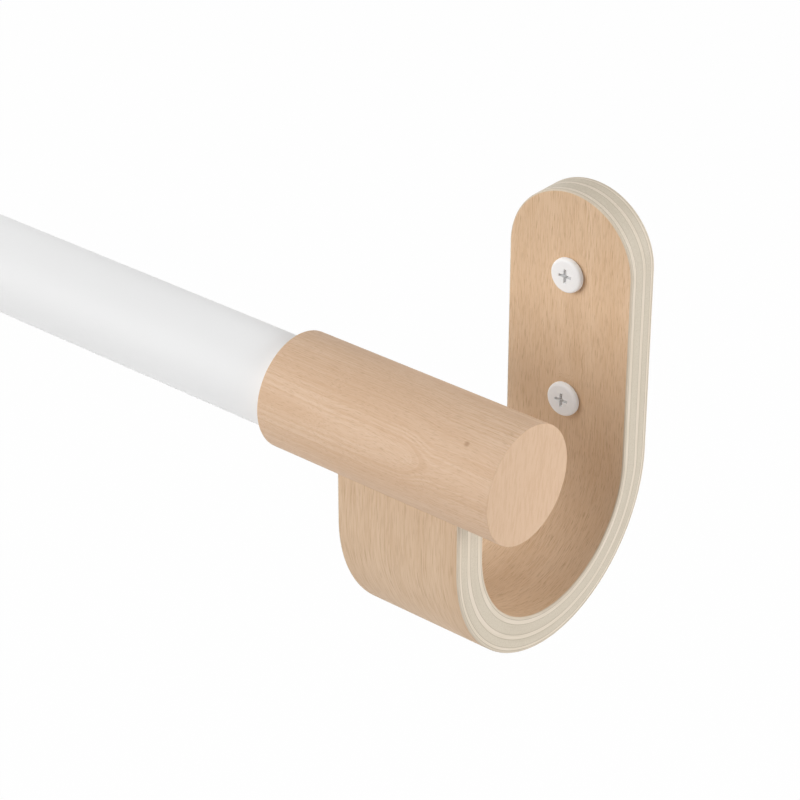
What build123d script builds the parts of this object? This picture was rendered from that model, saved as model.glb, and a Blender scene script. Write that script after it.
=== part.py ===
"""Adjustable curtain rod: telescoping tubes, turned end caps and bent-plywood wall brackets."""
import os

from build123d import *

# Sizes are in millimetres. X runs along the rod, Y towards the wall and Z up.
# The origin is the middle of the right bracket's two screws, on the wall's surface.

# Telescoping tubes
TUBE_DIAMETER = 25.4
TUBE_WALL = 0.8
INNER_TUBE_WALL = 0.8
TRAVEL = 508.0
LEAST_OVERLAP = 160.0
REVEAL = 12.0

# Nylon collar in the outer tube's mouth
COLLAR_LIP = 3.0
COLLAR_LIP_TAPER = 0.7
COLLAR_SLEEVE = 18.0
COLLAR_WALL = 0.67

# Nylon ring round the inner tube's hidden end
RING_LENGTH = 14.0
END_ROOM = 12.0

# Turned end caps
CAP_DIAMETER = 31.9
CAP_LENGTH = 74.6
CAP_EDGE = 0.4
SLOT_DEPTH = 6.0
SLOT_TO_SOCKET = 1.85

# Moulded plywood brackets
BRACKET_WIDTH = 39.8
BRACKET_THICKNESS = 10.1
BEND_INNER_RADIUS = 30.3
BEND_DROP = 31.55
PLATE_RISE = 42.3
ROD_DROP = 1.15

# Wall screws
SCREW_SPACING = 37.3
HEAD_DIAMETER = 9.8
HEAD_HEIGHT = 2.1
SHANK_DIAMETER = 4.5
THREAD_DIAMETER = 3.8
SCREW_REACH = 21.9
POINT_LENGTH = 6.0
RECESS_SPAN = 4.4
RECESS_WIDTH = 0.95
RECESS_DEPTH = 1.2

# Clearances, each on one side
RUNNING_GAP = 0.08
GLUE_GAP = 0.05
SEAT_GAP = 0.3
SCREW_GAP = 0.25

# Places that follow from the sizes
CAP_RADIUS = CAP_DIAMETER / 2
TUBE_BORE = TUBE_DIAMETER - 2 * TUBE_WALL
INNER_TUBE_DIAMETER = TUBE_BORE - 2 * (GLUE_GAP + COLLAR_WALL + RUNNING_GAP)
INNER_TUBE_BORE = INNER_TUBE_DIAMETER - 2 * INNER_TUBE_WALL
BEND_Y = -(BRACKET_THICKNESS + BEND_INNER_RADIUS)
ROD_Y = BEND_Y - BEND_INNER_RADIUS - BRACKET_THICKNESS / 2
SOCKET_DEPTH = (CAP_LENGTH - BRACKET_WIDTH) / 2 - SEAT_GAP - SLOT_TO_SOCKET
LEG_TIP_Z = -ROD_DROP - CAP_RADIUS + SLOT_DEPTH
OUTER_TUBE_LENGTH = TRAVEL + LEAST_OVERLAP + END_ROOM
OUTER_TUBE_END_X = SOCKET_DEPTH - CAP_LENGTH / 2
MOUTH_X = OUTER_TUBE_END_X - OUTER_TUBE_LENGTH
LEFT_CAP_FACE_X = MOUTH_X - COLLAR_LIP - REVEAL
LEFT_BRACKET_X = LEFT_CAP_FACE_X - CAP_LENGTH / 2
INNER_TUBE_START_X = LEFT_CAP_FACE_X - SOCKET_DEPTH
INNER_TUBE_END_X = MOUTH_X + TRAVEL + LEAST_OVERLAP
ROD_AXIS = Pos(0, ROD_Y, -ROD_DROP)
SCREW_PLACES = (SCREW_SPACING / 2, -SCREW_SPACING / 2)


def ring_along_x(start, end, outer_diameter, inner_diameter):
    """A straight tube between two places along the rod."""
    section = Circle(outer_diameter / 2) - Circle(inner_diameter / 2)
    return ROD_AXIS * extrude(Plane.YZ.offset(start) * section, end - start)


def guide_collar():
    """The sleeve that the inner tube runs in, with a tapered lip over the outer tube's edge."""
    bore = INNER_TUBE_DIAMETER / 2 + RUNNING_GAP
    sleeve = bore + COLLAR_WALL
    lip = TUBE_DIAMETER / 2
    outline = Polyline(
        (MOUTH_X + COLLAR_SLEEVE, bore),
        (MOUTH_X + COLLAR_SLEEVE, sleeve),
        (MOUTH_X, sleeve),
        (MOUTH_X, lip),
        (MOUTH_X - COLLAR_LIP, lip - COLLAR_LIP_TAPER),
        (MOUTH_X - COLLAR_LIP, bore),
        close=True,
    )
    return ROD_AXIS * revolve(make_face(outline), Axis.X)


def end_cap(tube_diameter):
    """A turned cap with a socket for its tube and a stopped slot that drops over the bracket's tip."""
    cap = Rot(Y=90) * Cylinder(CAP_RADIUS, CAP_LENGTH)
    cap = chamfer(cap.edges().filter_by(GeomType.CIRCLE), CAP_EDGE)
    socket = Rot(Y=90) * Cylinder(tube_diameter / 2 + GLUE_GAP, SOCKET_DEPTH)
    cap -= Pos(X=(SOCKET_DEPTH - CAP_LENGTH) / 2) * socket
    slot = Box(BRACKET_WIDTH + 2 * SEAT_GAP, BRACKET_THICKNESS + 2 * SEAT_GAP, SLOT_DEPTH)
    cap -= Pos(Z=SLOT_DEPTH / 2 - CAP_RADIUS) * slot
    return ROD_AXIS * cap


def front_outline():
    """The bracket seen from the room: straight sides under a full-round top."""
    top_centre = PLATE_RISE - BRACKET_WIDTH / 2
    bottom = -BEND_DROP - BEND_INNER_RADIUS - 2 * BRACKET_THICKNESS
    sides = Pos(0, (top_centre + bottom) / 2) * Rectangle(BRACKET_WIDTH, top_centre - bottom)
    return sides + Pos(0, top_centre) * Circle(BRACKET_WIDTH / 2)


def bracket():
    """A plywood strip pressed round one bend, its plate rounded at the top and drilled for two screws."""
    room = BEND_INNER_RADIUS
    wall = BEND_INNER_RADIUS + BRACKET_THICKNESS
    side_view = make_face([
        Line((BEND_Y + wall, PLATE_RISE), (BEND_Y + wall, -BEND_DROP)),
        CenterArc((BEND_Y, -BEND_DROP), wall, 0, -180),
        Line((BEND_Y - wall, -BEND_DROP), (BEND_Y - wall, LEG_TIP_Z)),
        Line((BEND_Y - wall, LEG_TIP_Z), (BEND_Y - room, LEG_TIP_Z)),
        Line((BEND_Y - room, LEG_TIP_Z), (BEND_Y - room, -BEND_DROP)),
        CenterArc((BEND_Y, -BEND_DROP), room, -180, 180),
        Line((BEND_Y + room, -BEND_DROP), (BEND_Y + room, PLATE_RISE)),
        Line((BEND_Y + room, PLATE_RISE), (BEND_Y + wall, PLATE_RISE)),
    ])
    hook = extrude(Plane.YZ * side_view, BRACKET_WIDTH / 2, both=True)
    hook &= extrude(Plane.XZ * front_outline(), 2 * (wall - BEND_Y), both=True)
    for place in SCREW_PLACES:
        hole = Rot(X=90) * Cylinder(SHANK_DIAMETER / 2 + SCREW_GAP, 4 * BRACKET_THICKNESS)
        hook -= Pos(Z=place) * hole
    return hook


def wall_screw():
    """A wafer-head screw through the plate, its point in the wall and a cross recess in its head."""
    seat = -BRACKET_THICKNESS
    crown = seat - HEAD_HEIGHT
    outline = Polyline(
        (0, crown),
        (HEAD_DIAMETER / 2, crown),
        (HEAD_DIAMETER / 2, seat),
        (SHANK_DIAMETER / 2, seat),
        (SHANK_DIAMETER / 2, 0),
        (THREAD_DIAMETER / 2, 0),
        (THREAD_DIAMETER / 2, SCREW_REACH - POINT_LENGTH),
        (0, SCREW_REACH),
        close=True,
    )
    screw = revolve(make_face(outline), Axis.Y)
    arm = Box(RECESS_SPAN, 2 * RECESS_DEPTH, RECESS_WIDTH)
    recess = arm + Rot(Y=90) * arm
    return screw - Pos(Y=crown) * recess


def wall_screws():
    """The two screws of one bracket, one above the other."""
    screw = wall_screw()
    return Compound([Pos(Z=place) * screw for place in SCREW_PLACES])


def main():
    hook = bracket()
    screws = wall_screws()
    left_end = Pos(X=LEFT_BRACKET_X)
    ring_bore = INNER_TUBE_DIAMETER + 2 * GLUE_GAP
    ring_start = INNER_TUBE_END_X - RING_LENGTH
    nodes = {
        "outer_tube": ring_along_x(MOUTH_X, OUTER_TUBE_END_X, TUBE_DIAMETER, TUBE_BORE),
        "inner_tube": ring_along_x(
            INNER_TUBE_START_X, INNER_TUBE_END_X, INNER_TUBE_DIAMETER, INNER_TUBE_BORE
        ),
        "guide_collar": guide_collar(),
        "glide_ring": ring_along_x(
            ring_start, INNER_TUBE_END_X, TUBE_BORE - 2 * RUNNING_GAP, ring_bore
        ),
        "end_cap_right": end_cap(TUBE_DIAMETER),
        "end_cap_left": left_end * mirror(end_cap(INNER_TUBE_DIAMETER), Plane.YZ),
        "bracket_right": hook,
        "bracket_left": left_end * hook,
        "wall_screws_right": screws,
        "wall_screws_left": left_end * screws,
    }
    os.makedirs("parts", exist_ok=True)
    for name, solid in nodes.items():
        export_step(solid, f"parts/{name}.step")


main()
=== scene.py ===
# %% [markdown]
# # A curtain rod on plywood hooks
# This lesson dresses an adjustable curtain rod: white telescoping tubes, turned beech end caps and
# J-shaped wall brackets of moulded plywood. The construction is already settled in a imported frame, so
# the first cell only loads it. Places are in metres, in that frame: X runs along the rod, Y points into
# the wall and Z points up.

# %% Load the frame
import math

import bmesh
import bpy
from mathutils import Matrix, Vector


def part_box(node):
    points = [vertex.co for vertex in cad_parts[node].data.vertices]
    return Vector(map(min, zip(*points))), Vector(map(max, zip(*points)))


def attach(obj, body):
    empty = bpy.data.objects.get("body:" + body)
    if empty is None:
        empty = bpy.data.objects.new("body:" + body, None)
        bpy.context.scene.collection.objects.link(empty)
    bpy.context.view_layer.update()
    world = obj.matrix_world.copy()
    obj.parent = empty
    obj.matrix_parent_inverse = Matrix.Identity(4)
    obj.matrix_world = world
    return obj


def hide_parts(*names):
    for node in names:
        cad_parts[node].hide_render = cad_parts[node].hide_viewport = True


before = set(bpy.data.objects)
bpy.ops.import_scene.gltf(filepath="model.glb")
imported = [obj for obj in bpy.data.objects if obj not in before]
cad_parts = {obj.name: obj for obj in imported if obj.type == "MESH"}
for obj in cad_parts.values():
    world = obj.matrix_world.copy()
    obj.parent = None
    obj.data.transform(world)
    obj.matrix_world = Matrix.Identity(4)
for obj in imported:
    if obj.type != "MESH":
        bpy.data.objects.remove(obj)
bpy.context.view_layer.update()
print("nodes:", sorted(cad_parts))

# %% [markdown]
# ## Places that the frame gives
# A box round each solid shows where the rod's axis runs, where the hooks bend and how far apart they
# hang. These could be typed in again, but read from the frame they always agree with it. Only what a
# box can't show is written down later: wall thicknesses, the slots of the caps and the plies.

# %% Read the places
MM = 0.001
tube_low, tube_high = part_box("outer_tube")
ROD_Y = (tube_low.y + tube_high.y) / 2
ROD_Z = (tube_low.z + tube_high.z) / 2
hook_low, hook_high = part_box("bracket_right")
HOOK_WIDTH = hook_high.x - hook_low.x
HOOK_MIDDLE = (hook_low.x + hook_high.x) / 2
WALL_RADIUS = (hook_high.y - hook_low.y) / 2
BEND_Y = (hook_low.y + hook_high.y) / 2
BEND_Z = hook_low.z + WALL_RADIUS
PLATE_TOP = hook_high.z
BODY_OF_SIDE = {"right": "right_half", "left": "left_half"}
SHIFT_OF_SIDE = {"right": 0.0, "left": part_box("bracket_left")[0].x - hook_low.x}
print("rod axis at y %.4f z %.4f, hooks %.4f apart" % (ROD_Y, ROD_Z, -SHIFT_OF_SIDE["left"]))

# %% [markdown]
# ## Colours and nodes
# Colours are picked as sRGB hex values, as in any paint program, while the renderer works in linear light,
# so one function turns the first into the second. Another adds a shader node: it takes the node's
# settings, and for each socket either a plain value or the output of another node. A material then
# reads as a list of what goes where, which is shorter than linking sockets one by one.

# %% Colours and nodes
def linear(hex_colour):
    """An sRGB hex colour as linear red, green, blue and alpha."""
    channels = [int(hex_colour[i:i + 2], 16) / 255 for i in (0, 2, 4)]
    return [c / 12.92 if c <= 0.04045 else ((c + 0.055) / 1.055) ** 2.4 for c in channels] + [1.0]


def add_node(tree, kind, settings=None, inputs=None):
    """Add one shader node with its settings, and link or set each named input."""
    made = tree.nodes.new(kind)
    for key, value in (settings or {}).items():
        setattr(made, key, value)
    for key, value in (inputs or {}).items():
        if isinstance(value, bpy.types.NodeSocket):
            tree.links.new(value, made.inputs[key])
        else:
            made.inputs[key].default_value = value
    return made


def new_material(name):
    """An empty node material and its output node."""
    material = bpy.data.materials.new(name)
    material.use_nodes = True
    material.node_tree.nodes.clear()
    return material, add_node(material.node_tree, "ShaderNodeOutputMaterial")


print("mid grey is", [round(c, 3) for c in linear("808080")])

# %% [markdown]
# ## Wood space
# Wood has a direction. Every pattern below is drawn in one space, in millimetres: first across the grain,
# second along it and third through the board. For a turned cap that space is the piece's own
# coordinates, with the grain along the rod. A bent hook could be unwrapped, but it is simpler to let its
# mesh remember where each point lay in the flat strip before the press bent it, as an attribute.

# %% Wood space
def turned_space(tree):
    """Object coordinates in millimetres, turned so that the grain runs along the rod."""
    place = add_node(tree, "ShaderNodeTexCoord").outputs["Object"]
    split = add_node(tree, "ShaderNodeSeparateXYZ", None, {0: place})
    turned = add_node(tree, "ShaderNodeCombineXYZ", None,
                      {0: split.outputs["Z"], 1: split.outputs["X"], 2: split.outputs["Y"]})
    scaled = add_node(tree, "ShaderNodeVectorMath", {"operation": "SCALE"},
                      {0: turned.outputs[0], "Scale": 1 / MM})
    return scaled.outputs[0]


def strip_space(tree):
    """Where the point lay in the flat strip, in millimetres."""
    return add_node(tree, "ShaderNodeAttribute", {"attribute_name": "flat_strip"}).outputs["Vector"]


print("two wood spaces: turned and strip")

# %% [markdown]
# ## Grain and paint
# All figure in wood comes from long, thin cells, so each pattern here is noise stretched to a real size in
# millimetres. An image would stop at the surface, while noise runs through the wood. The colours are
# then laid over each other like glazes. A hard threshold would leave ragged spots, so each glaze fades in
# softly while its pattern rises through a range.

# %% Grain and paint
SOFT_STEP = {"interpolation_type": "SMOOTHSTEP"}
# How many finer layers a noise gets on top, each at half the size of the one before.
SMOOTH = 1.0
USUAL = 2.0
FRAYED = 3.0


def grain_pattern(tree, space, size, detail=USUAL):
    """Noise whose blobs have the given size in millimetres across, along and through the wood."""
    scaled = add_node(tree, "ShaderNodeVectorMath", {"operation": "MULTIPLY"},
                      {0: space, 1: [1 / s for s in size]})
    noise = add_node(tree, "ShaderNodeTexNoise", None,
                     {"Vector": scaled.outputs[0], "Scale": 1.0, "Detail": detail})
    return noise.outputs["Fac"]


def paint_over(tree, base, layers):
    """Lay colours over a base. A layer is (pattern, range in which it fades in, share, colour)."""
    for pattern, (low, high), share, colour in layers:
        amount = add_node(tree, "ShaderNodeMapRange", SOFT_STEP,
                          {"Value": pattern, "From Min": low, "From Max": high, "To Max": share})
        # Inputs 6 and 7 and output 2 of this node are its colours.
        glazed = add_node(tree, "ShaderNodeMix", {"data_type": "RGBA"},
                          {0: amount.outputs["Result"], 6: base, 7: colour})
        base = glazed.outputs[2]
    return base


print("a pattern fades in by a", SOFT_STEP["interpolation_type"].lower())

# %% [markdown]
# ## Growth rings
# Each year a tree adds a layer round its pith, so a ring is all the wood at one distance from it. Cut along
# the trunk, the rings show as long lines, and where a layer closes over a tip the lines turn round in
# an arch. A ready-made wood texture gives even bands. Here the distance gets a soft step at the arch
# and a slow sway, and uneven noise over that distance gives lines like those of real wood.

# %% Growth rings
RING_RUN = 90.0
SWAY_SIZE = (12.0, 40.0, 12.0)
ACROSS_THE_GRAIN = (1, 0, 1)


def growth_rings(tree, space, figure):
    """Uneven lines at equal distances from the pith."""
    pith_across, pith_deep = figure["pith"]
    arch_start, arch_end = figure["arch"]
    from_pith = add_node(tree, "ShaderNodeVectorMath", {"operation": "MULTIPLY_ADD"},
                         {0: space, 1: ACROSS_THE_GRAIN, 2: (-pith_across, 0, -pith_deep)})
    distance = add_node(tree, "ShaderNodeVectorMath", {"operation": "LENGTH"}, {0: from_pith.outputs[0]})
    along = add_node(tree, "ShaderNodeSeparateXYZ", None, {0: space}).outputs["Y"]
    arch = add_node(tree, "ShaderNodeMapRange", SOFT_STEP,
                    {"Value": along, "From Min": arch_start, "From Max": arch_end,
                     "To Max": figure["rise"]})
    closed = add_node(tree, "ShaderNodeMath", {"operation": "ADD"},
                      {0: arch.outputs["Result"], 1: distance.outputs["Value"]})
    sway = grain_pattern(tree, space, SWAY_SIZE, SMOOTH)
    swayed = add_node(tree, "ShaderNodeMath", {"operation": "MULTIPLY_ADD"},
                      {0: sway, 1: figure["sway"], 2: closed.outputs[0]})
    ring_space = add_node(tree, "ShaderNodeCombineXYZ", None, {0: swayed.outputs[0], 1: along})
    return grain_pattern(tree, ring_space.outputs[0], (figure["ring_width"], RING_RUN, 1.0))


print("rings keep their width for about", RING_RUN, "mm")

# %% [markdown]
# ## Beech
# Beech is a pale, even, pinkish wood. What tells it from other woods is its flecks, dark spindles a few
# millimetres long and about a fifth of a millimetre wide, where the rays are cut. Under them lie fine
# fibres, soft rings and a slow change of tone. The fibres wander sideways a little, as no trunk grows
# quite straight. All pieces of beech share one recipe, with a figure of their own, because two boards
# never look alike.

# %% Beech
WANDER_SIZE = 22.0
TONE_SIZE = (9.0, 55.0, 9.0)
TONE_SHARE = 0.35
TONE_RANGE = (0.3, 0.7)
FIBRE_RANGE = (0.40, 0.72)
RING_RANGE = (0.38, 0.66)
FLECK_RANGE = (0.585, 0.675)
GRAIN_DEPTH = 0.06 * MM
GRAIN_STRENGTH = 0.25
LACQUER_ROUGHNESS = (0.55, 0.65)
LACQUER_IOR = 1.5
LACQUER_SHINE = 0.35


def beech(name, space_of, colours, figure):
    """Lacquered beech in the given wood space. Returns the material, its colour and its shader."""
    pale, dark, fleck = [linear(colour) for colour in colours]
    material, output = new_material(name)
    tree = material.node_tree
    space = space_of(tree)
    drift = add_node(tree, "ShaderNodeTexNoise", None,
                     {"Vector": space, "Scale": 1 / WANDER_SIZE, "Detail": SMOOTH})
    wander = add_node(tree, "ShaderNodeVectorMath", {"operation": "MULTIPLY_ADD"},
                      {0: drift.outputs["Color"], 1: (figure["wander"], 0, figure["wander"]), 2: space})
    # Real fibres are finer than a pixel, so they are drawn as streaks about 0.3 mm wide.
    fibre = grain_pattern(tree, wander.outputs[0], figure["fibre_size"], FRAYED)
    dashes = grain_pattern(tree, wander.outputs[0], figure["fleck_size"], SMOOTH)
    base = paint_over(tree, pale, [
        (grain_pattern(tree, space, TONE_SIZE), TONE_RANGE, TONE_SHARE, dark),
        (fibre, FIBRE_RANGE, figure["fibre"], dark),
        (growth_rings(tree, space, figure), RING_RANGE, figure["rings"], dark),
        (dashes, FLECK_RANGE, figure["flecks"], fleck),
    ])
    relief = add_node(tree, "ShaderNodeMath", {"operation": "SUBTRACT"}, {0: fibre, 1: dashes})
    bump = add_node(tree, "ShaderNodeBump", None,
                    {"Strength": GRAIN_STRENGTH, "Distance": GRAIN_DEPTH, "Height": relief.outputs[0]})
    shine = add_node(tree, "ShaderNodeMapRange", SOFT_STEP,
                     {"Value": fibre, "From Min": TONE_RANGE[0], "From Max": TONE_RANGE[1],
                      "To Min": LACQUER_ROUGHNESS[0], "To Max": LACQUER_ROUGHNESS[1]})
    # A matt lacquer has an IOR of about 1.5. This rough, and with its surface shine held back, it mirrors
    # nothing and leaves only a faint, broad sheen, so the eye sees the full colour of the wood.
    shader = add_node(tree, "ShaderNodeBsdfPrincipled", None,
                      {"Base Color": base, "Roughness": shine.outputs["Result"], "IOR": LACQUER_IOR,
                       "Specular IOR Level": LACQUER_SHINE, "Normal": bump.outputs[0]})
    tree.links.new(shader.outputs[0], output.inputs["Surface"])
    return material, base, shader


print("lacquer roughness", LACQUER_ROUGHNESS)

# %% [markdown]
# ## Veneers of the hooks
# Both faces of a hook are sliced beech veneer, pressed on hot and lacquered. The room side has clear
# flecks on straight grain. The wall side, which comes round the bend to the front of the leg, is a
# little greyer, with longer lines. One veneer for both would be simpler, but the two are from
# different logs, and the eye notices it where they meet at an edge.

# %% Veneers of the hooks
ROOM_FIGURE = {
    "fibre_size": (0.3, 6.0, 0.3), "fibre": 0.6, "wander": 0.6,
    "fleck_size": (0.16, 3.6, 0.16), "flecks": 0.4,
    "pith": (-34.0, -70.0), "ring_width": 1.2, "rings": 0.15,
    "arch": (60.0, 220.0), "rise": 3.0, "sway": 2.0,
}
WALL_FIGURE = {
    "fibre_size": (0.3, 8.0, 0.3), "fibre": 0.7, "wander": 0.6,
    "fleck_size": (0.28, 6.0, 0.28), "flecks": 0.35,
    "pith": (12.0, -46.0), "ring_width": 0.8, "rings": 0.2,
    "arch": (0.0, 160.0), "rise": 4.0, "sway": 2.0,
}
ROOM_COLOURS = ("DFC2A3", "CDAB86", "9C754C")
WALL_COLOURS = ("D8BC9F", "C6A685", "A88664")
room_veneer, _, _ = beech("lacquered_beech_veneer_room_side", strip_space, ROOM_COLOURS, ROOM_FIGURE)
wall_veneer, _, _ = beech("lacquered_beech_veneer_wall_side", strip_space, WALL_COLOURS, WALL_FIGURE)
print("made", room_veneer.name, "and", wall_veneer.name)

# %% [markdown]
# ## Turned beech
# The caps are solid beech, turned and lacquered. Their grain lies along the rod and shows one clear arch
# on the front of the right cap. Rings round a pith inside the cap would show as circles on its ends. With
# the pith well outside, in front of the arch, they run straight up to the arch and close there.

# %% Turned beech
ARCH_ANGLE = math.radians(17.6)
PITH_AWAY = 64.0
PITH_ACROSS = ROD_Z / MM + PITH_AWAY * math.sin(ARCH_ANGLE)
PITH_DEEP = ROD_Y / MM - PITH_AWAY * math.cos(ARCH_ANGLE)
CAP_COLOURS = ("DBBEA3", "C7A280", "A4805D")
CAP_FIGURE = {
    "fibre_size": (0.3, 4.5, 0.3), "fibre": 0.36, "wander": 6.0,
    "fleck_size": (0.2, 2.6, 0.2), "flecks": 0.25,
    "pith": (PITH_ACROSS, PITH_DEEP), "ring_width": 0.32, "rings": 0.5,
    "arch": (8.5, 19.5), "rise": 1.05, "sway": 0.5,
}
turned_beech, side_colour, cap_shader = beech(
    "turned_lacquered_beech", turned_space, CAP_COLOURS, CAP_FIGURE)
print("made", turned_beech.name, "with its pith at", [round(v, 1) for v in CAP_FIGURE["pith"]])

# %% [markdown]
# ## End grain and knot
# The ends of a cap are end grain, sanded fine. There the eye sees only faint, short streaks that lean a
# little, where the lathe cut across the rings. A second material could carry them, but the same one can
# tell an end by its normal, which points along the rod, and then no face has to be picked out. The right
# cap also has one pin knot, a ball of darker wood that fades out from its heart.

# %% End grain and knot
END_TURN = (0.1, 0.4)
END_SHARE = 0.85
END_COLOURS = ("D9B99B", "C6A07C")
STREAK_SIZE = (4.0, 8.0, 0.65)
STREAK_RANGE = (0.4, 0.7)
STREAK_SHARE = 0.4
STREAK_LEAN = math.radians(8)
KNOT_PLACE = (11.1, 26.35, -85.95)
KNOT_RIM_TO_HEART = (1.1, 0.2)
KNOT_SHARE = 0.6
KNOT_COLOUR = "A27C5C"
cap_tree = turned_beech.node_tree
cap_space = turned_space(cap_tree)
normal = add_node(cap_tree, "ShaderNodeNewGeometry").outputs["True Normal"]
facing = add_node(cap_tree, "ShaderNodeSeparateXYZ", None, {0: normal})
endwise = add_node(cap_tree, "ShaderNodeMath", {"operation": "ABSOLUTE"}, {0: facing.outputs["X"]})
leaning = add_node(cap_tree, "ShaderNodeVectorRotate", {"rotation_type": "Y_AXIS"},
                   {"Vector": cap_space, "Angle": STREAK_LEAN})
streaks = grain_pattern(cap_tree, leaning.outputs[0], STREAK_SIZE, FRAYED)
end_pale, end_dark = [linear(colour) for colour in END_COLOURS]
end_colour = paint_over(cap_tree, end_pale, [(streaks, STREAK_RANGE, STREAK_SHARE, end_dark)])
knot_gap = add_node(cap_tree, "ShaderNodeVectorMath", {"operation": "DISTANCE"},
                    {0: cap_space, 1: KNOT_PLACE})
cap_colour = paint_over(cap_tree, side_colour, [
    (endwise.outputs[0], END_TURN, END_SHARE, end_colour),
    (knot_gap.outputs["Value"], KNOT_RIM_TO_HEART, KNOT_SHARE, linear(KNOT_COLOUR)),
])
cap_tree.links.new(cap_colour, cap_shader.inputs["Base Color"])
print("end grain and knot added to", turned_beech.name)

# %% [markdown]
# ## Plywood edges
# A press glues an odd pile of thin plies round a former. Seen from the edge, plies whose fibres run along
# the hook are pale and streaky, and plies that run across it show end grain, a little darker and
# greyer. Thin lines of glue part them, and the face veneers end in a fine tan line at each corner. One
# striped material could do it, but with a finish for each ply the stripes follow the real layers.

# %% Plywood edges
EDGE_GRAIN_RANGE = (0.38, 0.72)
EDGE_GRAIN_SHARE = 0.75
EDGE_DRIFT_SIZE = (9.0, 26.0, 1.4)
EDGE_DRIFT_RANGE = (0.45, 0.75)
EDGE_DRIFT_SHARE = 0.5
SANDING_DEPTH = 0.05 * MM
SANDING_STRENGTH = 0.2
SANDED_ROUGHNESS = 0.6
SEALER_IOR = 1.5


def ply_edge(name, pale, dark, blob):
    """The sanded edge of a ply, with pores or streaks of the given size in millimetres."""
    material, output = new_material(name)
    tree = material.node_tree
    space = strip_space(tree)
    grain = grain_pattern(tree, space, blob, FRAYED)
    base = paint_over(tree, linear(pale), [
        (grain, EDGE_GRAIN_RANGE, EDGE_GRAIN_SHARE, linear(dark)),
        (grain_pattern(tree, space, EDGE_DRIFT_SIZE), EDGE_DRIFT_RANGE, EDGE_DRIFT_SHARE, linear(dark)),
    ])
    bump = add_node(tree, "ShaderNodeBump", None,
                    {"Strength": SANDING_STRENGTH, "Distance": SANDING_DEPTH, "Height": grain})
    # Sanded wood under a thin sealer has an IOR of about 1.5, and this rough it looks dry and matt.
    shader = add_node(tree, "ShaderNodeBsdfPrincipled", None,
                      {"Base Color": base, "Roughness": SANDED_ROUGHNESS, "IOR": SEALER_IOR,
                       "Normal": bump.outputs[0]})
    tree.links.new(shader.outputs[0], output.inputs["Surface"])
    return material


veneer_edge = ply_edge("sanded_beech_veneer_edge", "D2C5B2", "C7B9A5", (0.4, 5.0, 0.3))
long_ply = ply_edge("sanded_birch_along", "DFD3C3", "D2C6B2", (0.4, 9.0, 0.35))
# Pores in end grain are finer than a pixel, so they are drawn as specks about 0.4 mm wide.
cross_ply = ply_edge("sanded_birch_across", "D0C5B3", "C3B7A3", (0.35, 0.5, 0.35))
glue_line = ply_edge("sanded_glue_line", "B8AA95", "AA9C86", (0.4, 3.0, 0.3))
print("made", [m.name for m in (veneer_edge, long_ply, cross_ply, glue_line)])

# %% [markdown]
# ## White coatings and nylon
# The tubes are drawn steel under a white powder coat, which cures with a faint ripple like orange peel,
# about a millimetre wide. The screws have a smoother sprayed lacquer. The collar in the outer tube's
# mouth is moulded nylon. A painted metal could be built as a metal with a coat on it, but the steel never
# shows, so only the coats are made, as plain white plastics with a slow change of tone.

# %% White coatings and nylon
CLOUD_SIZE = (20.0, 90.0, 20.0)
CLOUD_RANGE = (0.35, 0.65)
RIPPLE_STRENGTH = 0.15


def white_finish(name, light, shade, ior, roughness, ripple, ripple_height, scatter):
    """A white coat with ripples of a width and height in mm. Scatter evens out its shading."""
    material, output = new_material(name)
    tree = material.node_tree
    space = turned_space(tree)
    cloud = grain_pattern(tree, space, CLOUD_SIZE, SMOOTH)
    base = paint_over(tree, linear(light), [(cloud, CLOUD_RANGE, 1.0, linear(shade))])
    waves = grain_pattern(tree, space, (ripple, ripple, ripple), SMOOTH)
    bump = add_node(tree, "ShaderNodeBump", None,
                    {"Strength": RIPPLE_STRENGTH, "Distance": ripple_height * MM, "Height": waves})
    shader = add_node(tree, "ShaderNodeBsdfPrincipled", None,
                      {"Base Color": base, "Roughness": roughness, "IOR": ior, "Normal": bump.outputs[0],
                       "Diffuse Roughness": scatter})
    tree.links.new(shader.outputs[0], output.inputs["Surface"])
    return material


# Powder coat is a cured resin with an IOR of about 1.5. Its rough skin shows no mirror image, and its
# pigment throws light back, so the round tube looks flat and softly shaded.
powder_coat = white_finish("powder_coated_steel", "F4F4F4", "F2F2F2", ior=1.5, roughness=0.6,
                           ripple=1.0, ripple_height=0.02, scatter=0.65)
# Sprayed lacquer is a resin too, only smoother: a satin white whose soft edges catch a little light.
white_lacquer = white_finish("white_lacquered_steel", "F5F5F5", "F2F2F2", ior=1.5, roughness=0.5,
                             ripple=0.7, ripple_height=0.01, scatter=0.5)
# Moulded nylon has an IOR of about 1.53, and looks waxy and a little warmer than the coat beside it.
nylon = white_finish("moulded_nylon", "EDECE8", "E8E6E0", ior=1.53, roughness=0.5,
                     ripple=0.5, ripple_height=0.01, scatter=0.0)
print("made", [m.name for m in (powder_coat, white_lacquer, nylon)])

# %% [markdown]
# ## Eased corners
# No maker leaves a corner perfectly sharp, and a broken edge is what catches the light. A bevel modifier
# could round every edge, but these pieces are all turned, so it is enough to round the corners of
# their outlines: a list of points (along, radius, ease), where ease is the radius of the corner.

# %% Eased corners
ARC_STEPS = 5


def eased(points):
    """Round each corner of an open outline with a small arc."""
    smooth = []
    for i, (along, radius, ease) in enumerate(points):
        corner = Vector((along, radius))
        if ease == 0 or i in (0, len(points) - 1):
            smooth.append(corner)
            continue
        before = (Vector(points[i - 1][:2]) - corner).normalized()
        after = (Vector(points[i + 1][:2]) - corner).normalized()
        half = before.angle(after) / 2
        centre = corner + (before + after).normalized() * ease / math.sin(half)
        start = corner + before * ease / math.tan(half) - centre
        end = corner + after * ease / math.tan(half) - centre
        sweep = start.angle_signed(end)
        for step in range(ARC_STEPS + 1):
            smooth.append(centre + Matrix.Rotation(-sweep * step / ARC_STEPS, 2) @ start)
    return smooth


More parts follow.
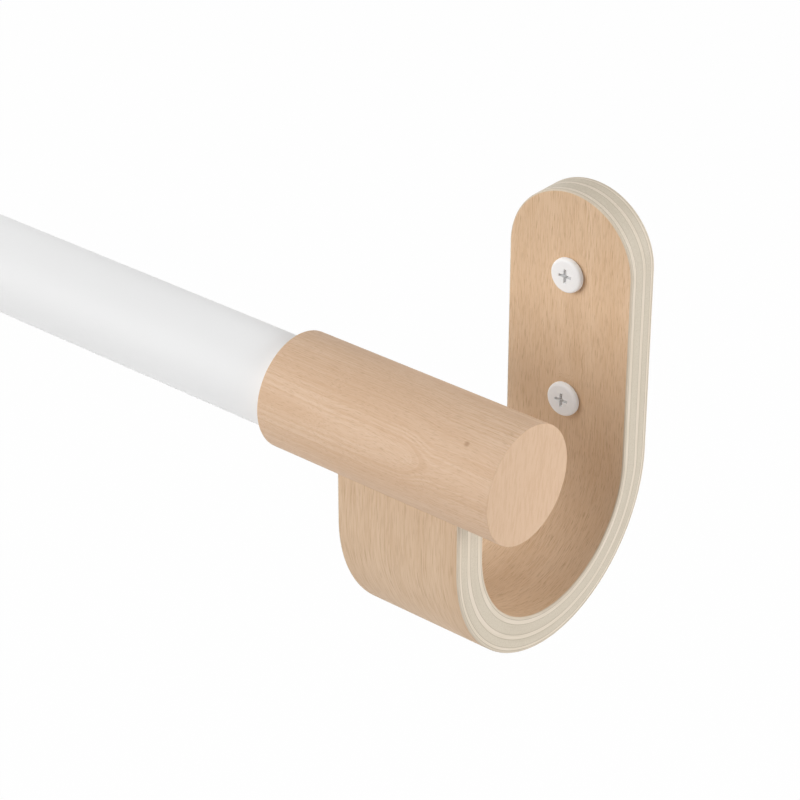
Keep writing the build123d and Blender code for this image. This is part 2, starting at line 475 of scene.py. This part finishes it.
print("a corner gets", ARC_STEPS, "steps")

# %% [markdown]
# ## Spinning an outline
# Caps, tubes, the collar and the screws are turned or drawn round an axis. Blender's cylinders would do
# for plain ones, but a spun outline also takes sockets, lips and eased rims. The caller says where a
# point goes, so the same function turns things round the rod and round a screw.

# %% Spinning an outline
ON_THE_AXIS = 1e-7


def spin(mesh, outline, place, segments, closed=False):
    """Add the outline to a bmesh, spun round an axis. place(along, radius, angle) gives each point."""
    rings = []
    for along, radius in outline:
        count = 1 if radius < ON_THE_AXIS else segments
        angles = [2 * math.pi * k / segments for k in range(count)]
        rings.append([mesh.verts.new(place(along, radius, angle)) for angle in angles])
    pairs = list(zip(rings, rings[1:]))
    if closed:
        pairs.append((rings[-1], rings[0]))
    for first, second in pairs:
        for k in range(segments):
            corners = [first[k % len(first)], first[(k + 1) % len(first)],
                       second[(k + 1) % len(second)], second[k % len(second)]]
            corners = list(dict.fromkeys(corners))
            if len(corners) > 2:
                mesh.faces.new(corners)


def round_the_rod(along, radius, angle):
    """A point at a radius from the rod's axis."""
    return (along, ROD_Y + radius * math.sin(angle), ROD_Z + radius * math.cos(angle))


print("top of a rod of 10 mm radius:", [round(v, 4) for v in round_the_rod(0, 10 * MM, 0)])

# %% [markdown]
# ## Handing over a piece
# Each finished mesh takes the place of one solid of the frame, rides on the body that the solid belongs
# to, and fills its material slot. It is shaded smooth. Flat shading would show the facets, and smooth
# shading alone would blur the corners, so the sharp edges are marked by their angle.

# %% Handing over a piece
SHARP_ANGLE = math.radians(40)


def smooth_faces(data):
    """Shade smooth, but keep the edges that are sharper than the limit."""
    data.shade_smooth()
    data.set_sharp_from_angle(angle=SHARP_ANGLE)


def mesh_object(name, mesh):
    """Turn a bmesh into an object of the scene."""
    bmesh.ops.recalc_face_normals(mesh, faces=mesh.faces)
    data = bpy.data.meshes.new(name)
    mesh.to_mesh(data)
    mesh.free()
    made = bpy.data.objects.new(name, data)
    bpy.context.scene.collection.objects.link(made)
    return made


def finish_piece(name, mesh, materials, node, body):
    """A piece that stands for a solid and rides on its body."""
    piece = mesh_object(name, mesh)
    for material in materials:
        piece.data.materials.append(material)
    smooth_faces(piece.data)
    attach(piece, body)
    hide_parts(node)
    return piece


print("corners over %.0f degrees stay sharp" % math.degrees(SHARP_ANGLE))

# %% [markdown]
# ## Cutting
# Slots, holes and the screws' recesses are cut after a piece is formed, as in the workshop. A boolean
# modifier could stay on the piece, but then the cutter would have to stay in the scene too. It is applied
# at once, and the piece is plain mesh again.

# %% Cutting
def cut(piece, cutter_mesh):
    """Cut one closed shape out of a piece, and apply it."""
    cutter = mesh_object("cutter", cutter_mesh)
    boolean = piece.modifiers.new("cut", "BOOLEAN")
    boolean.object = cutter
    boolean.operation = "DIFFERENCE"
    boolean.solver = "EXACT"
    bpy.context.view_layer.update()
    shaped = bpy.data.meshes.new_from_object(piece.evaluated_get(bpy.context.evaluated_depsgraph_get()))
    piece.modifiers.clear()
    piece.data = shaped
    bpy.data.objects.remove(cutter)
    smooth_faces(shaped)
    print("cut", piece.name, "to", len(shaped.polygons), "faces")


# %% [markdown]
# ## Tubes
# The two tubes are drawn steel. Each is a ring spun along the rod, with its cut ends just broken, in the
# box of its solid. A solidified cylinder would look the same from outside, but the bores show at the
# outer tube's mouth when the rod is pulled out.

# %% Tubes
TUBE_WALL = 0.8 * MM
TUBE_SEGMENTS = 128
CUT_EASE = 0.15 * MM


def tube_piece(node, body):
    """A drawn tube in the box of its solid."""
    low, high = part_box(node)
    radius = (high.z - low.z) / 2
    bore = radius - TUBE_WALL
    outline = eased([
        (low.x + TUBE_WALL, bore, 0), (low.x, bore, CUT_EASE), (low.x, radius, CUT_EASE),
        (high.x, radius, CUT_EASE), (high.x, bore, CUT_EASE), (high.x - TUBE_WALL, bore, 0),
    ])
    mesh = bmesh.new()
    spin(mesh, outline, round_the_rod, TUBE_SEGMENTS, closed=True)
    return finish_piece(node + "_coated", mesh, [powder_coat], node, body)


outer_tube = tube_piece("outer_tube", "right_half")
inner_tube = tube_piece("inner_tube", "left_half")
print("tubes", outer_tube.name, inner_tube.name, "with", len(outer_tube.data.polygons), "faces each")

# %% [markdown]
# ## Collar and ring
# A nylon collar sits in the outer tube's mouth. It guides the inner tube, and its tapered lip lets curtain
# rings slide past the step. A second ring of nylon on the inner tube's hidden end keeps it centred.
# That ring is never seen, so its solid stays as it is and only gets its material.

# %% Collar and ring
COLLAR_LIP = 3.0 * MM
COLLAR_LIP_TAPER = 0.7 * MM
COLLAR_WALL = 0.67 * MM
COLLAR_EASE = 0.35 * MM
RUNNING_GAP = 0.08 * MM
collar_low, collar_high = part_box("guide_collar")
collar_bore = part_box("inner_tube")[1].z - ROD_Z + RUNNING_GAP
collar_lip = (collar_high.z - collar_low.z) / 2
collar_mesh = bmesh.new()
spin(collar_mesh, eased([
    (collar_high.x - CUT_EASE, collar_bore, 0),
    (collar_low.x, collar_bore, COLLAR_EASE),
    (collar_low.x, collar_lip - COLLAR_LIP_TAPER, COLLAR_EASE),
    (collar_low.x + COLLAR_LIP, collar_lip, CUT_EASE),
    (collar_low.x + COLLAR_LIP, collar_bore + COLLAR_WALL, 0),
    (collar_high.x, collar_bore + COLLAR_WALL, CUT_EASE),
    (collar_high.x, collar_bore, 0),
]), round_the_rod, TUBE_SEGMENTS, closed=True)
collar = finish_piece("guide_collar_moulded", collar_mesh, [nylon],
                      "guide_collar", "right_half")
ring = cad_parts["glide_ring"]
ring.data.materials.clear()
ring.data.materials.append(nylon)
print(collar.name, "has", len(collar.data.polygons), "faces, and", ring.name, "is", nylon.name)

# %% [markdown]
# ## Turned end caps
# Each cap is a short beech dowel, faced on the lathe, with its two rims just broken. A socket in its inner
# end takes the tube. A cylinder with a hole cut in it would do, but one spun outline gives the outside, the
# rims and the socket together.

# %% Turned end caps
CAP_SEGMENTS = 160
RIM_EASE = 0.25 * MM
MOUTH_EASE = 0.3 * MM


def cap_blank(side, tube_node):
    """The turned part of a cap, in the box of its solid, with its socket towards the tube."""
    node = "end_cap_" + side
    low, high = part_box(node)
    radius = (high.z - low.z) / 2
    tube_start, tube_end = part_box(tube_node)
    bore = (tube_end.z - tube_start.z) / 2
    if side == "right":
        inner, outer, floor = low.x, high.x, tube_end.x
    else:
        inner, outer, floor = high.x, low.x, tube_start.x
    outline = eased([
        (floor, 0, 0), (floor, bore, 0), (inner, bore, MOUTH_EASE), (inner, radius, RIM_EASE),
        (outer, radius, RIM_EASE), (outer, 0, 0),
    ])
    mesh = bmesh.new()
    spin(mesh, outline, round_the_rod, CAP_SEGMENTS)
    return finish_piece(node + "_turned", mesh, [turned_beech], node, BODY_OF_SIDE[side])


caps = {"right": cap_blank("right", "outer_tube"), "left": cap_blank("left", "inner_tube")}
print("cap blanks with", len(caps["right"].data.polygons), "faces each")

# %% [markdown]
# ## Slots in the caps
# Underneath, a stopped slot drops over the tip of the hook, so the rod lifts off for hanging curtains. It
# isn't round, so it can't be part of the spun outline. A plain box cuts it, a little larger than the tip.

# %% Slots in the caps
SLOT_DEPTH = 6.0 * MM
SEAT_GAP = 0.3 * MM
HOOK_THICKNESS = 10.1 * MM


def box_cutter(low, high):
    """A closed box between two corners."""
    mesh = bmesh.new()
    size = Vector(high) - Vector(low)
    middle = (Vector(high) + Vector(low)) / 2
    bmesh.ops.create_cube(mesh, size=1.0, matrix=Matrix.Translation(middle) @ Matrix.Diagonal((*size, 1)))
    return mesh


for side, cap in caps.items():
    half_length = HOOK_WIDTH / 2 + SEAT_GAP
    half_width = HOOK_THICKNESS / 2 + SEAT_GAP
    middle = HOOK_MIDDLE + SHIFT_OF_SIDE[side]
    cap_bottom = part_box("end_cap_" + side)[0].z
    cut(cap, box_cutter(
        (middle - half_length, ROD_Y - half_width, cap_bottom - SLOT_DEPTH),
        (middle + half_length, ROD_Y + half_width, cap_bottom + SLOT_DEPTH),
    ))

# %% [markdown]
# ## Moulded hooks
# A hook is a flat plywood strip, bent once in a press. It could be extruded along a curve, but as a strip
# of rows and columns that are carried round the bend, each point knows where it lay in the flat
# sheet, and the grain follows the bend as it does in the real one.

# %% Rows of the strip
LEG_ROWS = 5
BEND_ROWS = 72
PLATE_ROWS = 8
ROUND_ROWS = 36
ROOM_RADIUS = WALL_RADIUS - HOOK_THICKNESS
MIDDLE_RADIUS = ROOM_RADIUS + HOOK_THICKNESS / 2
LEG_TIP_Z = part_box("end_cap_right")[0].z + SLOT_DEPTH
LEG_LENGTH = LEG_TIP_Z - BEND_Z
BEND_LENGTH = math.pi * MIDDLE_RADIUS
PLATE_START = LEG_LENGTH + BEND_LENGTH
ROUND_START = PLATE_START + (PLATE_TOP - HOOK_WIDTH / 2) - BEND_Z


def strip_rows():
    """Each row as (place along the strip, angle on the half-round top or None)."""
    rows = [(LEG_LENGTH * i / LEG_ROWS, None) for i in range(LEG_ROWS)]
    rows += [(LEG_LENGTH + BEND_LENGTH * i / BEND_ROWS, None) for i in range(BEND_ROWS)]
    rows += [(PLATE_START + (ROUND_START - PLATE_START) * i / PLATE_ROWS, None) for i in range(PLATE_ROWS)]
    rows += [(ROUND_START, math.pi / 2 * i / ROUND_ROWS) for i in range(ROUND_ROWS + 1)]
    return rows


print("the strip is %.1f mm long, in %d rows" % ((ROUND_START + HOOK_WIDTH / 2) / MM, len(strip_rows())))

# %% [markdown]
# ## Round the bend
# The press bends the strip round a former: straight down the leg, round the bend and straight up the
# plate. A simple-deform modifier bends a whole mesh at once. Two small maps keep the straight parts
# straight: one finds a point in the flat strip, whose top is a half circle, and the other bends it.

# %% Round the bend
def on_strip(row, fraction, inset):
    """Where a row's point lies in the flat strip, moved in from the edge by the inset."""
    along, angle = row
    half = HOOK_WIDTH / 2 - inset
    if angle is None:
        return fraction * half, along
    return fraction * half * math.cos(angle), along + half * math.sin(angle)


def bend(across, along, depth):
    """Carry a point of the flat strip round the hook. Depth counts from the room-side face."""
    radius = ROOM_RADIUS + depth
    if along < LEG_LENGTH:
        return (across, BEND_Y - radius, LEG_TIP_Z - along)
    if along < PLATE_START:
        angle = (along - LEG_LENGTH) / MIDDLE_RADIUS
        return (across, BEND_Y - radius * math.cos(angle), BEND_Z - radius * math.sin(angle))
    return (across, BEND_Y + radius, BEND_Z + along - PLATE_START)


print("the strip's end bends to", [round(v, 4) for v in bend(0, ROUND_START + HOOK_WIDTH / 2, 0)])

# %% [markdown]
# ## Plies
# The hook is seven layers: a veneer on each face, three plies along the hook and two across it. They could
# be seven meshes, but nothing ever parts them. So the edge is a stack of levels that follow the layers,
# with a thin level for each line of glue and an eased corner at both faces.

# %% Plies
LAYERS = [("veneer", 0.75), ("long", 1.3), ("cross", 2.9), ("long", 1.35), ("cross", 2.2), ("long", 0.85),
          ("veneer", 0.75)]
GLUE_WIDTH = 0.16
CORNER_EASE = 0.4
CORNER_STEPS = 4


def edge_levels():
    """The edge from the room face to the wall face, as (inset, depth, finish up to the next level)."""
    total = sum(thickness for _, thickness in LAYERS)
    turns = [math.pi / 2 * i / CORNER_STEPS for i in range(CORNER_STEPS + 1)]
    levels = []
    for turn in turns:
        levels.append((CORNER_EASE * (1 - math.sin(turn)), CORNER_EASE * (1 - math.cos(turn)), "veneer"))
    depth = 0.0
    for (_, thickness), (next_name, _) in zip(LAYERS, LAYERS[1:]):
        depth += thickness
        levels.append((0.0, depth - GLUE_WIDTH / 2, "glue"))
        levels.append((0.0, depth + GLUE_WIDTH / 2, next_name))
    for turn in turns:
        inset = CORNER_EASE * (1 - math.cos(turn))
        levels.append((inset, total - CORNER_EASE * (1 - math.sin(turn)), "veneer"))
    return [(inset * MM, level * MM, name) for inset, level, name in levels]


print(len(LAYERS), "layers in", len(edge_levels()), "levels")

# %% [markdown]
# ## Points of a hook
# Every point of the hook has a row, a column and a level in the edge. It is placed by the maps above, and
# keeps its place in the flat strip for the grain. The left hook takes its grain from further along the
# veneer. Copying the right one would be quicker, but then the two would be twins.

# %% Points of a hook
COLUMNS = 16
ROWS = strip_rows()
TOP = len(ROWS) - 1
LEVELS = edge_levels()
VENEER_OFFSET = {"right": 0.0, "left": 400.0}


def level_points(mesh, side, level, places):
    """Add a point for each row and column in places, at one level of the edge."""
    flat = mesh.verts.layers.float_vector["flat_strip"]
    inset, depth, _ = level
    points = {}
    for row, column in places:
        across, along = on_strip(ROWS[row], 2 * column / COLUMNS - 1, inset)
        x, y, z = bend(across, along, depth)
        point = mesh.verts.new((x + SHIFT_OF_SIDE[side], y, z))
        point[flat] = (across / MM, along / MM + VENEER_OFFSET[side], depth / MM)
        points[row, column] = point
    return points


print("a face has", TOP * (COLUMNS + 1) + 1, "points")

# %% [markdown]
# ## Faces and edge of a hook
# The two faces are sheets of rows and columns that close in one point at the top. The edge is a band of
# loops that joins their rims. A solidify modifier would give the edge too, but with one material and no
# layers. Here each band takes the finish of its own ply.

# %% Faces and edge of a hook
HOOK_FINISHES = [room_veneer, wall_veneer, veneer_edge, long_ply, cross_ply, glue_line]
FINISH_INDEX = {"room": 0, "wall": 1, "veneer": 2, "long": 3, "cross": 4, "glue": 5}
SHEET = [(row, column) for row in range(TOP) for column in range(COLUMNS + 1)] + [(TOP, 0)]
RIM = [(row, 0) for row in range(TOP + 1)] + [(row, COLUMNS) for row in range(TOP - 1, -1, -1)]
RIM += [(0, column) for column in range(COLUMNS - 1, 0, -1)]


def face_sheet(mesh, side, level, finish):
    """One face of the strip. Returns its points."""
    points = level_points(mesh, side, level, SHEET)
    for row in range(TOP):
        for column in range(COLUMNS):
            corners = [points[row, column], points[row, column + 1]]
            if row + 1 < TOP:
                corners += [points[row + 1, column + 1], points[row + 1, column]]
            else:
                corners.append(points[TOP, 0])
            mesh.faces.new(corners).material_index = FINISH_INDEX[finish]
    return points


def hook_mesh(side):
    """The bent strip as a closed bmesh whose points remember their place in the flat strip."""
    mesh = bmesh.new()
    mesh.verts.layers.float_vector.new("flat_strip")
    loops = [level_points(mesh, side, level, RIM) for level in LEVELS[1:-1]]
    loops.insert(0, face_sheet(mesh, side, LEVELS[0], "room"))
    loops.append(face_sheet(mesh, side, LEVELS[-1], "wall"))
    for (_, _, finish), first, second in zip(LEVELS, loops, loops[1:]):
        for place, after in zip(RIM, RIM[1:] + RIM[:1]):
            band = mesh.faces.new((first[place], first[after], second[after], second[place]))
            band.material_index = FINISH_INDEX[finish]
    return mesh


print("finishes of a hook:", [m.name for m in HOOK_FINISHES])

# %% [markdown]
# ## Drilling and hanging the hooks
# Each plate has two plain holes, one above the other, a little wider than the screws. Modelled into the
# sheets they would disturb the even rows, so they are drilled last, through the finished hook.

# %% Drilling and hanging the hooks
SCREW_HOLE_RADIUS = 2.5 * MM
SCREW_SPACING = 37.3 * MM
SCREW_HEIGHTS = (SCREW_SPACING / 2, -SCREW_SPACING / 2)
HOLE_SEGMENTS = 48


def hole_cutter(across, height):
    """A rod along Y that drills one screw hole."""
    mesh = bmesh.new()
    front, back = -2 * HOOK_THICKNESS, HOOK_THICKNESS

    def place(along, radius, angle):
        return (across + radius * math.cos(angle), along, height + radius * math.sin(angle))

    spin(mesh, [(front, 0), (front, SCREW_HOLE_RADIUS), (back, SCREW_HOLE_RADIUS), (back, 0)],
         place, HOLE_SEGMENTS)
    return mesh


for side, body in BODY_OF_SIDE.items():
    node = "bracket_" + side
    hook = finish_piece(node + "_layered", hook_mesh(side), HOOK_FINISHES, node, body)
    for height in SCREW_HEIGHTS:
        cut(hook, hole_cutter(SHIFT_OF_SIDE[side], height))

# %% [markdown]
# ## Thread of a wall screw
# Two screws hold each hook. The shank is plain inside the hook, with a coarse thread behind it. A thread
# swept along a helix is a heavy mesh. Here the screw is spun, and behind the hook its radius rises and
# falls along a helix, which gives a sharp crest with few faces.

# %% Thread of a wall screw
head_low, screw_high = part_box("wall_screws_right")
HEAD_RADIUS = (screw_high.x - head_low.x) / 2
HEAD_HEIGHT = -head_low.y - HOOK_THICKNESS
SCREW_REACH = screw_high.y
POINT_LENGTH = 6.0 * MM
THREAD_CORE = 1.55 * MM
THREAD_CREST = 2.2 * MM
THREAD_PITCH = 1.9 * MM
CREST_SHARE = 0.28


def thread_radius(along, angle):
    """The thread's radius at a place along the screw and an angle round it."""
    turn = (along / THREAD_PITCH - angle / (2 * math.pi)) % 1.0
    crest = max(0.0, 1 - abs(turn - 0.5) / CREST_SHARE)
    taper = min(1.0, (SCREW_REACH - along) / POINT_LENGTH)
    run_in = min(1.0, along / THREAD_PITCH)
    return (THREAD_CORE + (THREAD_CREST - THREAD_CORE) * crest * run_in) * taper


print("the thread is %.1f mm long" % (SCREW_REACH / MM))

# %% [markdown]
# ## Head and shank of a screw
# The wafer head has a soft shoulder that catches the light, and a small undercut that draws a dark line
# round it on the wood. A flat disc lying on the plate would lose that line, and look painted on.

# %% Head and shank of a screw
SHOULDER = 0.9 * MM
UNDERCUT = 0.5 * MM
SHANK_RADIUS = 2.25 * MM
THREAD_STEPS = 12
SCREW_SEGMENTS = 48
SEAT = -HOOK_THICKNESS
CROWN = SEAT - HEAD_HEIGHT


def add_screw(mesh, across, height):
    """Add one screw to a bmesh, on a line along Y."""
    def place(along, radius, angle):
        if along > 0 and radius > 0:
            radius = thread_radius(along, angle)
        return (across + radius * math.cos(angle), along, height + radius * math.sin(angle))

    outline = eased([
        (CROWN, 0, 0), (CROWN, HEAD_RADIUS, SHOULDER), (SEAT - UNDERCUT, HEAD_RADIUS, 0),
        (SEAT, HEAD_RADIUS - UNDERCUT, 0), (SEAT, SHANK_RADIUS, 0), (0, SHANK_RADIUS, 0),
    ])
    steps = int(SCREW_REACH / THREAD_PITCH * THREAD_STEPS)
    outline += [Vector((SCREW_REACH * k / steps, THREAD_CORE)) for k in range(steps)]
    outline.append(Vector((SCREW_REACH, 0)))
    spin(mesh, outline, place, SCREW_SEGMENTS)


print("the head is %.1f mm wide and %.1f mm high" % (2 * HEAD_RADIUS / MM, HEAD_HEIGHT / MM))

# %% [markdown]
# ## Cross recess
# The driver fits a tapered cross that a punch has sunk into the head. A dark mark on the face would be
# cheaper, but it has no walls to catch the light. The outline is one arm's corners, turned four times,
# and it is narrower at the bottom than at the face.

# %% Cross recess
RECESS_SPAN = 4.1 * MM
RECESS_WIDTH = 0.9 * MM
RECESS_DEPTH = 1.9 * MM
RECESS_TAPER = 0.2


def recess_cutter(across, height):
    """A tapered cross that sinks into the head."""
    mesh = bmesh.new()
    arm = [Vector((RECESS_WIDTH / 2, RECESS_WIDTH / 2)), Vector((RECESS_WIDTH / 2, RECESS_SPAN / 2)),
           Vector((-RECESS_WIDTH / 2, RECESS_SPAN / 2))]
    cross = [Matrix.Rotation(math.pi / 2 * quarter, 2) @ corner for quarter in range(4) for corner in arm]
    loops = []
    for depth, scale in ((-RECESS_DEPTH, 1 + RECESS_TAPER), (RECESS_DEPTH, 1 - RECESS_TAPER)):
        places = [(across + x * scale, CROWN + depth, height + z * scale) for x, z in cross]
        loops.append([mesh.verts.new(place) for place in places])
    for k in range(len(cross)):
        after = (k + 1) % len(cross)
        mesh.faces.new((loops[0][k], loops[0][after], loops[1][after], loops[1][k]))
    for loop in loops:
        mesh.faces.new(loop)
    return mesh


for side, body in BODY_OF_SIDE.items():
    node = "wall_screws_" + side
    screw_mesh = bmesh.new()
    for height in SCREW_HEIGHTS:
        add_screw(screw_mesh, SHIFT_OF_SIDE[side], height)
    screws = finish_piece(node + "_lacquered", screw_mesh, [white_lacquer], node, body)
    for height in SCREW_HEIGHTS:
        cut(screws, recess_cutter(SHIFT_OF_SIDE[side], height))

# %% [markdown]
# ## Floor
# The picture is a plain studio shot on white. The rod hangs on a wall, so the floor lies well below it and
# its shadow falls out of sight. A backdrop that curves up is common, but a wide flat floor and a white
# world look the same from every side.

# %% Floor
FLOOR_Z = -2.0
FLOOR_SIZE = 60.0
floor_data = bpy.data.meshes.new("floor")
half = FLOOR_SIZE / 2
floor_data.from_pydata([(x * half, y * half, FLOOR_Z) for x, y in ((-1, -1), (1, -1), (1, 1), (-1, 1))],
                       [], [(0, 1, 2, 3)])
floor = bpy.data.objects.new("floor", floor_data)
bpy.context.scene.collection.objects.link(floor)
print("floor at", FLOOR_Z, "m")

# %% [markdown]
# ## Pale paper
# The floor is matt white paper. Lit up to pure white it would flood the rod with light from below, so it is
# shown white only to the camera, to mirrors and to clear bodies. All other rays meet a pale matt surface.
# Light Path tells the two kinds apart. A small share stays matt for the camera too, and keeps a shadow.

# %% Pale paper
DIRECT_SHARE = 0.985
PAPER_COLOUR = "E6E6E6"


def seen_directly(tree):
    """1 for rays that show the ground itself: from the camera, a reflection or a clear body."""
    path = add_node(tree, "ShaderNodeLightPath")
    shown = add_node(tree, "ShaderNodeMath", {"operation": "MAXIMUM"},
                     {0: path.outputs["Is Camera Ray"], 1: path.outputs["Is Glossy Ray"]})
    return add_node(tree, "ShaderNodeMath", {"operation": "MAXIMUM"},
                    {0: shown.outputs[0], 1: path.outputs["Is Transmission Ray"]}).outputs[0]


# Matt paper has no shine, so a diffuse shader is enough, and the eye sees an even ground without a glare.
paper, paper_output = new_material("matt_paper")
paper_tree = paper.node_tree
matt = add_node(paper_tree, "ShaderNodeBsdfDiffuse", None, {"Color": linear(PAPER_COLOUR)})
bright = add_node(paper_tree, "ShaderNodeEmission", None, {"Color": linear("FFFFFF"), "Strength": 1.0})
share = add_node(paper_tree, "ShaderNodeMath", {"operation": "MULTIPLY"},
                 {0: seen_directly(paper_tree), 1: DIRECT_SHARE})
ground = add_node(paper_tree, "ShaderNodeMixShader", None,
                  {0: share.outputs[0], 1: matt.outputs[0], 2: bright.outputs[0]})
paper_tree.links.new(ground.outputs[0], paper_output.inputs["Surface"])
floor_data.materials.append(paper)
print("made", paper.name)

# %% [markdown]
# ## World
# A weak, even light from all round stands for the walls of the studio, and opens the deepest shadows. More
# of it would be the easy way to a bright picture, but it takes away the shading. As with the paper, the
# camera sees plain white instead.

# %% World
WORLD_LIGHT = 0.125
world = bpy.data.worlds.new("studio")
bpy.context.scene.world = world
world.use_nodes = True
sky = world.node_tree
sky.nodes.clear()
sky_output = add_node(sky, "ShaderNodeOutputWorld")
soft = add_node(sky, "ShaderNodeBackground", None, {"Color": linear("FFFFFF"), "Strength": WORLD_LIGHT})
white = add_node(sky, "ShaderNodeBackground", None, {"Color": linear("FFFFFF"), "Strength": 1.0})
backdrop = add_node(sky, "ShaderNodeMixShader", None,
                    {0: seen_directly(sky), 1: soft.outputs[0], 2: white.outputs[0]})
sky.links.new(backdrop.outputs[0], sky_output.inputs["Surface"])
print("soft light all round:", WORLD_LIGHT)

# %% [markdown]
# ## Light
# Big soft boxes give wood its calm look, because their shadows have no hard edge, as a sun or a spot would
# leave. The key stands in front, a little to the left and above. A strong side box lights the plywood
# edges on the right, and weaker ones from behind, above and the left keep the shadows open. They stand
# far off, so that both ends of the long rod get nearly the same light.

# %% Light
LAMP_TARGET = Vector((-0.02, ROD_Y / 2, -0.01))
LAMP_DISTANCE = 6.0


def soft_box(name, azimuth, elevation, width, height, strength):
    """A lamp that faces the right hook. Strength is how bright it makes a white card that faces it."""
    data = bpy.data.lights.new(name, "AREA")
    data.shape = "RECTANGLE"
    data.size = width
    data.size_y = height
    data.energy = strength * (math.pi * LAMP_DISTANCE) ** 2
    lamp = bpy.data.objects.new(name, data)
    turn, rise = math.radians(azimuth), math.radians(elevation)
    towards = Vector((math.sin(turn) * math.cos(rise), -math.cos(turn) * math.cos(rise), math.sin(rise)))
    lamp.location = LAMP_TARGET + towards * LAMP_DISTANCE
    lamp.rotation_mode = "QUATERNION"
    lamp.rotation_quaternion = towards.to_track_quat("Z", "Y")
    bpy.context.scene.collection.objects.link(lamp)


soft_box("key", azimuth=-22, elevation=22, width=4.0, height=4.4, strength=0.79)
soft_box("side", azimuth=104, elevation=10, width=5.2, height=5.2, strength=0.615)
soft_box("back", azimuth=140, elevation=14, width=4.0, height=3.2, strength=0.36)
soft_box("top", azimuth=-50, elevation=72, width=3.6, height=3.6, strength=0.28)
soft_box("fill", azimuth=-105, elevation=10, width=5.2, height=5.2, strength=0.2)
print(len(bpy.data.lights), "soft boxes at", LAMP_DISTANCE, "m")

# %% [markdown]
# ## Camera
# The camera looks at the right hook from its right and above. A short lens close by would make the near
# edge of the hook look swollen. A long lens from further off keeps the sides nearly parallel. The rod
# runs out of the picture on the left.

# %% Camera
CAMERA_PLACE = Vector((382.86, -537.05, 350.64)) * MM
CAMERA_AZIMUTH = math.radians(39.923)
CAMERA_ELEVATION = math.radians(29.665)
CAMERA_LENS = 124.84
CAMERA_REACH = 100.0
camera_data = bpy.data.cameras.new("camera")
camera_data.lens = CAMERA_LENS
camera_data.clip_end = CAMERA_REACH
camera = bpy.data.objects.new("camera", camera_data)
camera.location = CAMERA_PLACE
camera.rotation_euler = (math.pi / 2 - CAMERA_ELEVATION, 0, CAMERA_AZIMUTH)
bpy.context.scene.collection.objects.link(camera)
bpy.context.scene.camera = camera
bpy.context.scene.view_settings.view_transform = "Standard"
print("camera at", [round(v, 3) for v in camera.location])
